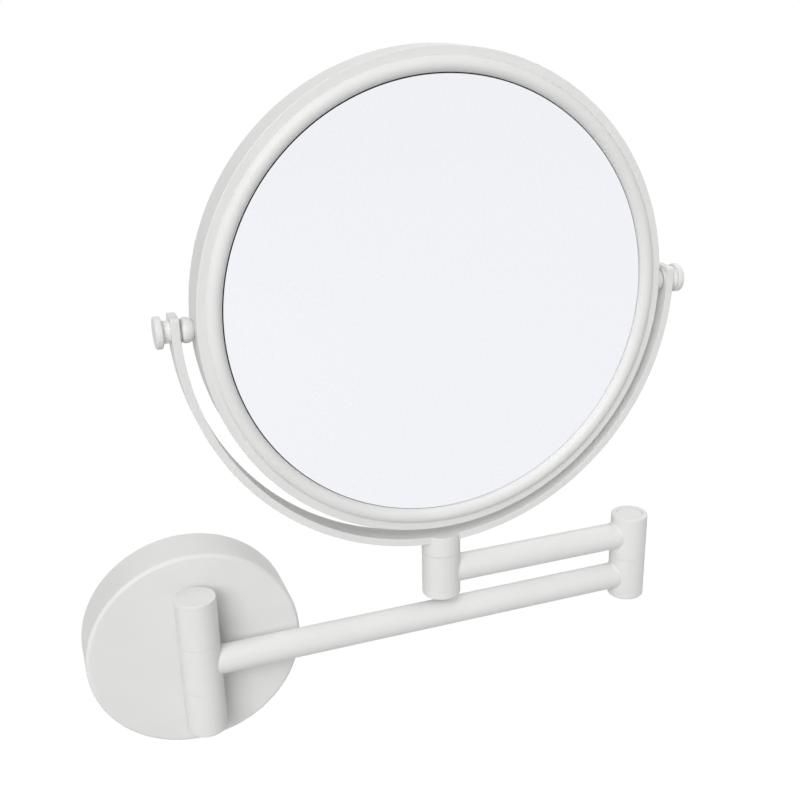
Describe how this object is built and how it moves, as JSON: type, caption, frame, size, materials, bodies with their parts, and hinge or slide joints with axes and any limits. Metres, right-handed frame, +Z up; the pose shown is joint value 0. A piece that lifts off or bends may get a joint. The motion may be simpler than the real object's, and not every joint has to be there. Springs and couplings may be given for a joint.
{
  "type": "extendable shaving mirror",
  "caption": "Round two-sided mirror that tilts in a fork on a folding tube arm, which swings from a short column in front of a round wall rosette.",
  "frame": {"origin": "centre of the wall plate's back face, on the wall surface", "axes": "+Y into the wall, along the rosette's axis; +Z up, along the hinge axes; +X along the folded arm, from the column to the elbow; the mirror faces -Y at rest"},
  "size_m": [0.2834, 0.0452, 0.308],
  "materials": {
    "white_paint": "satin",
    "zinc_plated_steel": "satin",
    "nylon": "matte",
    "mirror_glass": "polished",
    "foam": "matte",
    "black_plastic": "matte"
  },
  "bodies": {
    "wall": {"wall_plate": "zinc_plated_steel", "rosette_cover": "white_paint", "rosette_grub_screw": "zinc_plated_steel", "column_post_upper": "white_paint", "column_post_lower": "white_paint", "column_post_screw_upper": "zinc_plated_steel", "column_post_screw_lower": "zinc_plated_steel", "column_knuckle_upper": "white_paint", "column_knuckle_lower": "white_paint", "column_pin": "zinc_plated_steel", "column_foot_cap": "white_paint", "column_washer_lower": "nylon"},
    "lower_arm": {"lower_arm_knuckle": "white_paint", "lower_arm_tube": "white_paint", "column_washer_upper": "nylon", "elbow_knuckle_lower": "white_paint", "elbow_pin": "zinc_plated_steel", "elbow_foot_cap": "white_paint", "elbow_washer": "nylon"},
    "upper_arm": {"elbow_knuckle_upper": "white_paint", "elbow_top_cap": "white_paint", "upper_arm_tube": "white_paint", "mirror_knuckle": "white_paint", "mirror_knuckle_foot_cap": "white_paint", "mirror_knuckle_washer": "nylon"},
    "fork": {"yoke_hub": "white_paint", "yoke": "white_paint", "swivel_pin": "zinc_plated_steel", "swivel_nut": "zinc_plated_steel", "pivot_washer_left": "nylon", "pivot_washer_right": "nylon"},
    "mirror": {"pivot_stud_left": "zinc_plated_steel", "pivot_stud_right": "zinc_plated_steel", "pivot_collar_left": "white_paint", "pivot_collar_right": "white_paint", "pivot_knob_left": "white_paint", "pivot_knob_right": "white_paint", "pivot_block_left": "zinc_plated_steel", "pivot_block_right": "zinc_plated_steel", "frame_band": "white_paint", "bead_ring_front": "white_paint", "bead_ring_rear": "white_paint", "mirror_glass_front": "mirror_glass", "mirror_glass_rear": "mirror_glass", "glass_pad_front": "foam", "glass_pad_rear": "foam", "glass_spacer_ring": "black_plastic"}
  },
  "joints": [
    {"name": "wall_swing", "type": "hinge", "parent": "wall", "child": "lower_arm", "pos_m": [0, -0.034, 0], "axis": [0, 0, -1], "range_deg": [-4, 184]},
    {"name": "elbow_swing", "type": "hinge", "parent": "lower_arm", "child": "upper_arm", "pos_m": [0.217, -0.034, 0.0226], "axis": [0, 0, 1], "continuous": true},
    {"name": "mirror_swivel", "type": "hinge", "parent": "upper_arm", "child": "fork", "pos_m": [0.115, -0.034, 0.034], "axis": [0, 0, 1], "continuous": true},
    {"name": "mirror_tilt", "type": "hinge", "parent": "fork", "child": "mirror", "pos_m": [0.115, -0.034, 0.1538], "axis": [1, 0, 0], "continuous": true}
  ]
}
